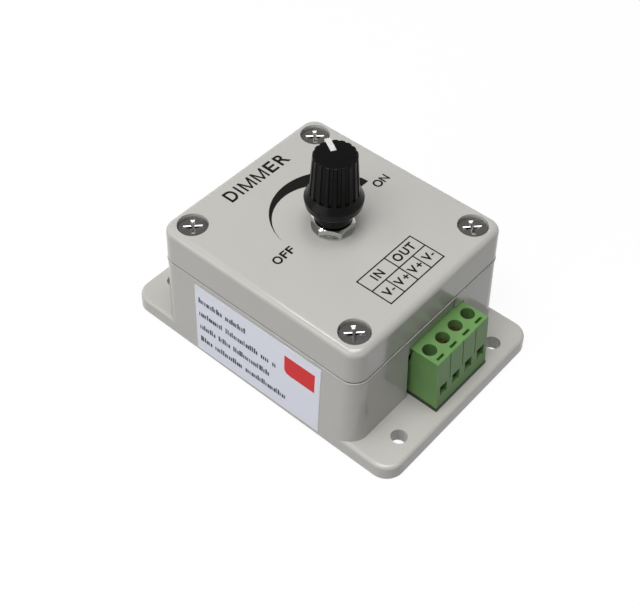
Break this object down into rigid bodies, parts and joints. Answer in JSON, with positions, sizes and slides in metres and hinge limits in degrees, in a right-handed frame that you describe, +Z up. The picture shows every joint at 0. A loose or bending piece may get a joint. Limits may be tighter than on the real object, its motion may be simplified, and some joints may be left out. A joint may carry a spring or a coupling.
{
  "type": "led strip dimmer",
  "caption": "Flanged grey plastic box with a fluted rotary knob on its lid and a green screw terminal block in one end, for dimming a low-voltage lamp strip.",
  "frame": {"origin": "bottom centre of the case, on the plane it is mounted on", "axes": "+Z up through the knob's axis, +X towards the terminal block, -Y towards the wall with the label"},
  "size_m": [0.086, 0.0583, 0.0576],
  "materials": {
    "case_grey": "smooth moulded",
    "screw_steel": "dark nickel plated",
    "label_white": "printed film",
    "knob_black": "satin moulded",
    "pointer_white": "moulded insert",
    "plated_steel": "bright nickel plated",
    "shaft_metal": "turned",
    "phenolic_brown": "laminate",
    "tinned_brass": "tinned",
    "lead_red": "insulated wire",
    "board_dark": "solder mask",
    "terminal_green": "smooth moulded",
    "clamp_screw": "worn plating",
    "package_black": "moulded",
    "sleeve_blue": "shrink sleeve",
    "resistor_tan": "lacquered",
    "ceramic_orange": "dipped"
  },
  "bodies": {
    "case": {"base": "case_grey", "lid": "case_grey", "lid_screws": "screw_steel", "board_screws": "screw_steel", "rating_label": "label_white", "pot_nut": "plated_steel", "pot_washer": "plated_steel", "pot_bushing": "plated_steel", "pot_cover": "plated_steel", "pot_wafer": "phenolic_brown", "pot_lugs": "tinned_brass", "terminal_contacts": "tinned_brass", "pot_leads": "lead_red", "circuit_board": "board_dark", "terminal_housing": "terminal_green", "power_transistor": "package_black", "timer_chip": "package_black", "clamp_diode": "package_black", "reservoir_capacitor": "sleeve_blue", "resistors": "resistor_tan", "ceramic_capacitors": "ceramic_orange"},
    "knob": {"knob": "knob_black", "knob_pointer": "pointer_white", "pot_shaft": "shaft_metal", "pot_wiper": "phenolic_brown"},
    "plate_1": {"terminal_plate_1": "tinned_brass"},
    "screw_1": {"terminal_screw_1": "clamp_screw"},
    "plate_2": {"terminal_plate_2": "tinned_brass"},
    "screw_2": {"terminal_screw_2": "clamp_screw"},
    "plate_3": {"terminal_plate_3": "tinned_brass"},
    "screw_3": {"terminal_screw_3": "clamp_screw"},
    "plate_4": {"terminal_plate_4": "tinned_brass"},
    "screw_4": {"terminal_screw_4": "clamp_screw"}
  },
  "joints": [
    {"name": "knob_turn", "type": "hinge", "parent": "case", "child": "knob", "pos_m": [0, 0, 0.048], "axis": [0, 0, 1], "range_deg": [-120.3, 179.7]},
    {"name": "plate_slide_1", "type": "slide", "parent": "case", "child": "plate_1", "axis": [0, 0, 1], "range_m": [-0.0008, 0.0032]},
    {"name": "screw_turn_1", "type": "hinge", "parent": "plate_1", "child": "screw_1", "pos_m": [0.03415, -0.005, 0.017], "axis": [0, 0, 1], "range_deg": [-641, 2561]},
    {"name": "plate_slide_2", "type": "slide", "parent": "case", "child": "plate_2", "axis": [0, 0, 1], "range_m": [-0.0032, 0.0008]},
    {"name": "screw_turn_2", "type": "hinge", "parent": "plate_2", "child": "screw_2", "pos_m": [0.03415, 0, 0.017], "axis": [0, 0, 1], "range_deg": [-2561, 641]},
    {"name": "plate_slide_3", "type": "slide", "parent": "case", "child": "plate_3", "axis": [0, 0, 1], "range_m": [-0.0032, 0.0008]},
    {"name": "screw_turn_3", "type": "hinge", "parent": "plate_3", "child": "screw_3", "pos_m": [0.03415, 0.005, 0.017], "axis": [0, 0, 1], "range_deg": [-2561, 641]},
    {"name": "plate_slide_4", "type": "slide", "parent": "case", "child": "plate_4", "axis": [0, 0, 1], "range_m": [-0.0008, 0.0032]},
    {"name": "screw_turn_4", "type": "hinge", "parent": "plate_4", "child": "screw_4", "pos_m": [0.03415, 0.01, 0.017], "axis": [0, 0, 1], "range_deg": [-641, 2561]}
  ],
  "couplings": [
    {"joint": "screw_turn_1", "follows": "plate_slide_1", "rad_per_m": 13963},
    {"joint": "screw_turn_2", "follows": "plate_slide_2", "rad_per_m": 13963},
    {"joint": "screw_turn_3", "follows": "plate_slide_3", "rad_per_m": 13963},
    {"joint": "screw_turn_4", "follows": "plate_slide_4", "rad_per_m": 13963}
  ]
}
